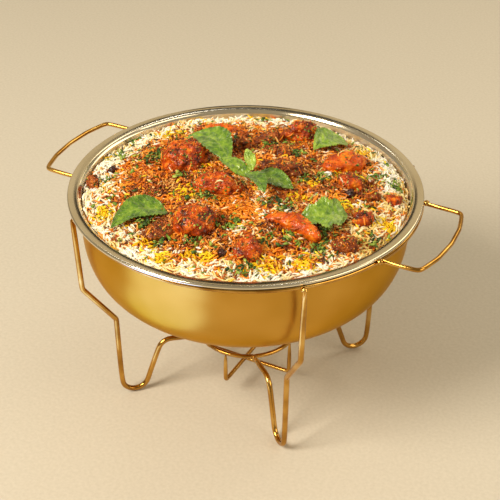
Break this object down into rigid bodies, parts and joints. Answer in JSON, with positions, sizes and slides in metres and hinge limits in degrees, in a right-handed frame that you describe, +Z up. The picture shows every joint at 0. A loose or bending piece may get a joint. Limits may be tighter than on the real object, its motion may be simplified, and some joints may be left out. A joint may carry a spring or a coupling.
{
  "type": "chicken biryani in a serving bowl",
  "caption": "Biryani of long-grain rice, roast chicken and mint leaves heaped in a round steel bowl that hangs in a gold-coloured wire stand with handles.",
  "frame": {"origin": "on the table, below the centre of the wire stand", "axes": "+Z up, +X through one handle, the legs on the diagonals"},
  "size_m": [0.3656, 0.2998, 0.2315],
  "materials": {
    "gilt_wire": "polished steel wire with a gold-coloured plating",
    "gilt_steel_bowl": "satin gold-coloured outside, polished steel flange and inside",
    "cooked_rice": "moist long-grain rice, mostly white with yellow and orange patches",
    "chicken_red": "roast chicken in a red marinade, glossy with oil",
    "chicken_orange": "roast chicken in an orange marinade, glossy with oil",
    "chicken_browned": "browned and charred chicken",
    "dark_spice": "dark whole spice",
    "mint_leaf": "fresh mint leaf"
  },
  "bodies": {
    "root": {"bowl": "gilt_steel_bowl", "rice": "cooked_rice", "top_ring": "gilt_wire", "burner_ring": "gilt_wire", "leg_1": "gilt_wire", "leg_2": "gilt_wire", "leg_3": "gilt_wire", "leg_4": "gilt_wire", "burner_wire_1": "gilt_wire", "handle_1": "gilt_wire", "burner_wire_2": "gilt_wire", "handle_2": "gilt_wire", "chicken_big_back": "chicken_red", "chicken_middle": "chicken_red", "chicken_front_left": "chicken_red", "chicken_front": "chicken_red", "chicken_back": "chicken_red", "chicken_back_small": "chicken_browned", "chicken_back_dark": "chicken_browned", "chicken_back_right": "chicken_orange", "chicken_under_leaf": "chicken_browned", "chicken_right": "chicken_red", "chicken_right_small": "chicken_browned", "chicken_right_edge": "chicken_red", "chicken_long": "chicken_orange", "chicken_front_right": "chicken_browned", "chicken_left_edge": "chicken_browned", "chicken_centre_back": "chicken_browned", "chicken_far_left": "chicken_orange", "chicken_crusted": "chicken_browned", "chicken_right_front": "chicken_red", "spice_left": "dark_spice", "spice_front": "dark_spice", "spice_right": "dark_spice", "mint_big": "mint_leaf", "mint_oval": "mint_leaf", "mint_folded": "mint_leaf", "mint_lower": "mint_leaf", "mint_left": "mint_leaf", "mint_round": "mint_leaf", "mint_back": "mint_leaf", "mint_upright": "mint_leaf"}
  },
  "joints": []
}
